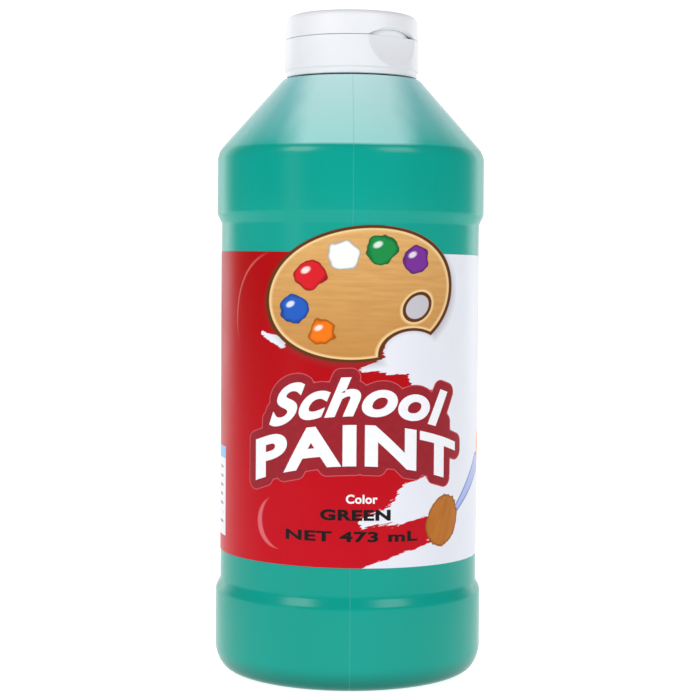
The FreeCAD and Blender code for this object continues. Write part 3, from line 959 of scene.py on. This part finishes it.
def make_plaque(lines, core, arch, material):
    """The dark patch behind the title: all that is near the letters or an arched box."""
    letters = set_lines(lines)
    spacing = 0.25 * MM
    points = []
    for edge in letters.edges:
        if edge.is_boundary:
            start, end = (v.co.copy() for v in edge.verts)
            count = math.ceil((end - start).length / spacing)
            points += [start.lerp(end, i / count) for i in range(count)]
    letters.free()
    left, foot, right, head = core
    columns, rows = 40, 16
    for i in range(columns + 1):
        across = left + (right - left) * i / columns
        bow = arch * (2 * i / columns - 1) ** 2
        for j in range(rows + 1):
            points.append(Vector((across, 0, foot + (head - foot) * j / rows - bow)) * MM)
    tree = KDTree(len(points))
    for i, point in enumerate(points):
        tree.insert(point, i)
    tree.balance()
    low, high = (-31 * MM, 49 * MM), (37 * MM, 84 * MM)
    middle = Matrix.Translation(((low[0] + high[0]) / 2, 0, (low[1] + high[1]) / 2))
    upright = Matrix.Rotation(math.pi / 2, 4, "X")
    size = Matrix.Diagonal((high[0] - low[0], high[1] - low[1], 1, 1))
    place = middle @ upright @ size
    patch = bmesh.new()
    bmesh.ops.create_grid(patch, x_segments=190, y_segments=100, size=0.5, matrix=place)
    reach = patch.verts.layers.float.new("reach")
    for vert in patch.verts:
        vert[reach] = tree.find(vert.co)[2]
    far = [f for f in patch.faces if all(v[reach] >= PLAQUE_BORDER for v in f.verts)]
    bmesh.ops.delete(patch, geom=far, context="FACES")
    for vert in patch.verts:
        near, _, gap = tree.find(vert.co)
        if gap > PLAQUE_BORDER:
            vert.co = near + (vert.co - near) * (PLAQUE_BORDER / gap)
            vert[reach] = PLAQUE_BORDER
    thicken(patch, PLAQUE_THICKNESS)
    wrap_round(patch, LABEL_RADIUS)
    return finish_piece("ink_plaque", patch, material, "bottle", crease=30)


def make_lettering(name, lines, material):
    """Printed lettering as thin ink that lies on the label."""
    ink = set_lines(lines)
    thicken(ink, INK_THICKNESS)
    wrap_round(ink, LABEL_RADIUS)
    return finish_piece(name, ink, material, "bottle", crease=30)


# ======================================================================
# Cap
# ======================================================================
def carve_scoop(bm):
    """Presses the thumb scoop into the skirt: flat across, round up and down, deepest at the top."""
    curve = (SCOOP_REACH ** 2 + SCOOP_DEPTH ** 2) / (2 * SCOOP_DEPTH)
    centre = SKIRT_RADIUS - SCOOP_DEPTH + curve
    skin = 0.9 * MM
    for vert in bm.verts:
        drop = min(0.0, vert.co.z - PARTING)
        if drop < -SCOOP_REACH - MM or vert.co.z > PARTING + 0.01 * MM:
            continue
        limit = centre - math.sqrt(curve ** 2 - drop ** 2)
        radius = radius_of(vert)
        if radius < RIM_RADIUS - 0.05 * MM:
            continue
        if radius < SKIRT_RADIUS - skin and vert.co.z < PARTING - MM:
            limit -= skin
        out = vert.co.dot(SCOOP_DIRECTION)
        if out > limit:
            vert.co += SCOOP_DIRECTION * (limit - out)


def hinge_place():
    """Carries a shape made at the front to the hinge's place."""
    return Matrix.Rotation(SCOOP_TURN + math.pi, 4, "Z")


def hinge_lug(direction, start):
    """The thick lip that carries the hinge. Its root follows the round wall and stays sunk in it."""
    inner = LID_BORE + 0.35 * MM
    root = inner * 0.93
    width = 13.2 * MM
    edge = start + direction * 1.0 * MM
    end = start + direction * 3.4 * MM
    outline = [(root, start), (HINGE_LINE, start), (HINGE_LINE, edge), (inner, end), (root, end)]
    block = prism(outline, width, Matrix.Identity(4))
    soften(block, 0.15 * MM)
    cut_columns(block, -width / 2, width / 2, 0.6 * MM)
    for vert in block.verts:
        radius = radius_of(vert)
        if radius < inner:
            vert.co.x *= inner / radius
            vert.co.y *= inner / radius
    bmesh.ops.transform(block, matrix=hinge_place(), verts=block.verts)
    return block


def make_cap_base(material):
    skirt_bore = SKIRT_RADIUS - 1.2 * MM
    lip = 0.4 * MM
    lip_top = CAP_FOOT + 1.65 * MM
    web = PARTING - 1.3 * MM
    deck_top = DECK_UNDERSIDE + 1.2 * MM
    rim_top = deck_top + 1.25 * MM
    skirt_end = CAP_FOOT + 0.4 * MM
    threaded_wall = THREADED_BORE + 1.2 * MM
    orifice = 1.9 * MM
    bm = turned([
        (skirt_bore - lip, CAP_FOOT, 0.25 * MM),
        (SKIRT_RADIUS - lip, CAP_FOOT, 0.3 * MM),
        (SKIRT_RADIUS - lip, lip_top - lip / 2, 0.1 * MM),
        (SKIRT_RADIUS, lip_top + lip / 2, 0.15 * MM),
        (SKIRT_RADIUS, PARTING, 0.15 * MM),
        (RIM_RADIUS, PARTING, 0.15 * MM),
        (RIM_RADIUS, rim_top, 0.5 * MM),
        (RIM_RADIUS - 1.2 * MM, rim_top, 0.3 * MM),
        (RIM_RADIUS - 1.2 * MM, deck_top, 0.4 * MM),
        (4.9 * MM, deck_top, 1.2 * MM),
        (3.4 * MM, SPOUT_TOP, 0.5 * MM),
        (orifice, SPOUT_TOP, 0.2 * MM),
        (orifice, SPOUT_TOP - PIN_REACH, 0),
        (4.0 * MM, DECK_UNDERSIDE, 0.3 * MM),
        (THREADED_BORE, DECK_UNDERSIDE, 0.3 * MM),
        (THREADED_BORE, skirt_end, 0.3 * MM),
        (threaded_wall, skirt_end, 0.3 * MM),
        (threaded_wall, web, 0.3 * MM),
        (skirt_bore, web, 0.3 * MM),
        (skirt_bore, lip_top, 0),
        (skirt_bore - lip, lip_top - lip / 2, 0),
    ], steps=360, closed=True)
    rows = [lip_top + 0.3 * MM * i for i in range(1, 27)]
    cut_rows(bm, rows, lambda f: all(radius_of(v) > skirt_bore - 0.1 * MM for v in f.verts))
    carve_scoop(bm)
    join_into(bm, hinge_lug(-1, PARTING - 0.02 * MM))
    foot = THREAD_FOOT - THREAD_PITCH / 2
    crest = THREADED_BORE - 1.15 * MM
    join_into(bm, thread(THREADED_BORE, crest, 0.9 * MM, 0.45 * MM, foot, 0.36, THREAD_TURNS))
    return finish_piece(
        "cap_skirt_and_spout", bm, material, "cap", ["cap_base"], crease=50,
    )


def raise_arch(bm):
    """Lifts the lid's lower edge into the finger arch over the scoop."""
    curve = (ARCH_HALF ** 2 + ARCH_HEIGHT ** 2) / (2 * ARCH_HEIGHT)
    fade = 4.3 * MM
    for vert in bm.verts:
        across = abs(vert.co.dot(SCOOP_ACROSS))
        if across > ARCH_HALF or vert.co.dot(SCOOP_DIRECTION) < 0:
            continue
        if radius_of(vert) < LID_BORE - 0.05 * MM:
            continue
        rise = vert.co.z - LID_FOOT
        if rise > fade:
            continue
        lift = math.sqrt(curve ** 2 - across ** 2) - (curve - ARCH_HEIGHT)
        lift *= 1 - 0.3 * max(0.0, LID_RADIUS - radius_of(vert)) / (LID_RADIUS - LID_BORE)
        vert.co.z = LID_FOOT + lift + rise * (fade - lift) / fade


def make_lid(material):
    ceiling = LID_TOP - 1.2 * MM
    pin = 1.75 * MM
    pin_tip = SPOUT_TOP - PIN_REACH
    bm = turned([
        (0, LID_TOP, 0),
        (LID_RADIUS - 0.35 * MM, LID_TOP, 1.8 * MM),
        (LID_RADIUS, LID_FOOT, 0.15 * MM),
        (LID_BORE, LID_FOOT, 0.15 * MM),
        (LID_BORE, ceiling, 0.7 * MM),
        (2.6 * MM, ceiling, 0.3 * MM),
        (pin, ceiling - 0.7 * MM, 0.2 * MM),
        (pin, pin_tip + 0.65 * MM, 0),
        (pin - 0.5 * MM, pin_tip, 0.3 * MM),
        (0, pin_tip, 0),
    ], steps=360)
    rows = [LID_FOOT + 0.35 * MM * i for i in range(1, 13)]
    cut_rows(bm, rows, lambda f: all(radius_of(v) > LID_BORE - 0.05 * MM for v in f.verts))
    raise_arch(bm)
    join_into(bm, hinge_lug(1, LID_FOOT + 0.02 * MM))
    return finish_piece("lid_shell", bm, material, "lid", ["flip_lid"], crease=50)


def make_hinge(material):
    """Two thin films and a bowed strap between the cap and the lid."""
    middle = (PARTING + LID_FOOT) / 2
    width, thickness, offset = 3.6 * MM, 0.3 * MM, 4.6 * MM
    for name, side in (("hinge_film_left", -1), ("hinge_film_right", 1)):
        film = prism([
            (HINGE_LINE, PARTING - 0.9 * MM),
            (HINGE_LINE + thickness, PARTING - 0.7 * MM),
            (HINGE_LINE + thickness, LID_FOOT + 0.7 * MM),
            (HINGE_LINE, LID_FOOT + 0.9 * MM),
        ], width, hinge_place() @ Matrix.Translation((side * offset, 0, 0)))
        cut_rows(film, [middle + 0.12 * MM * i for i in range(-6, 7)], lambda f: True)
        piece = finish_piece(name + "_web", film, material, None, [name])
        bend(piece, 0.5 * MM)
    steps = 12
    outside = (1.35 * MM, 1.06 * MM, range(steps + 1))
    inside = (0.9 * MM, 0.56 * MM, range(steps, -1, -1))
    outline = []
    for bow, reach, order in (outside, inside):
        for step in order:
            angle = math.pi * step / steps
            outline.append((HINGE_LINE + bow * math.sin(angle), middle - reach * math.cos(angle)))
    strap = prism(outline, 3.2 * MM, hinge_place())
    piece = finish_piece("snap_strap_web", strap, material, None, ["snap_strap"])
    bend(piece, 0.9 * MM)


def bend(piece, reach):
    """Bakes a web's place into its mesh; it does not tie the web to the cap or the lid."""
    middle = (PARTING + LID_FOOT) / 2
    middle - reach
    middle + reach
    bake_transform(piece)


def dress_cad_node(name, material):
    """Gives a CAD node that keeps its shape a finished material."""
    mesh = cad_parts[name].data
    mesh.materials.clear()
    mesh.materials.append(material)


def main():
    make_camera()
    make_studio()
    plastic = bottle_finish()
    make_bottle(plastic)
    make_seam(plastic)
    make_label(label_finish())
    white_ink = ink_finish("white_ink", srgb(236, 238, 244), srgb(246, 247, 250))
    black_ink = ink_finish("black_ink", srgb(8, 6, 8), srgb(20, 16, 18))
    title = [
        ("School", (-21.5, 69.8, 28.0, 79.8), 4.0, 0.035, 0.35),
        ("PAINT", (-26.0, 57.4, 31.4, 67.8), 5.0, 0.04, 0.0),
    ]
    make_plaque(title, (-21.5, 59.4, 26.9, 72.4), 4.4, plaque_finish())
    make_lettering("ink_title", title, white_ink)
    make_lettering("ink_line", [("Color", (-0.6, 48.0, 7.4, 50.3), 0.0, 0.03, 0.0)], white_ink)
    make_lettering("ink_small", [
        ("GREEN", (-7.1, 43.7, 10.8, 46.5), 0.0, 0.045, 0.0),
        ("NET 473 mL", (-16.3, 38.3, 18.4, 41.0), 0.0, 0.035, 0.0),
    ], black_ink)
    white = cap_finish()
    make_cap_base(white)
    make_lid(white)
    make_hinge(white)
    dress_cad_node("paint", paint_finish())
    dress_cad_node("foil_seal", foil_finish())
    dress_cad_node("cap_liner", liner_finish())


main()
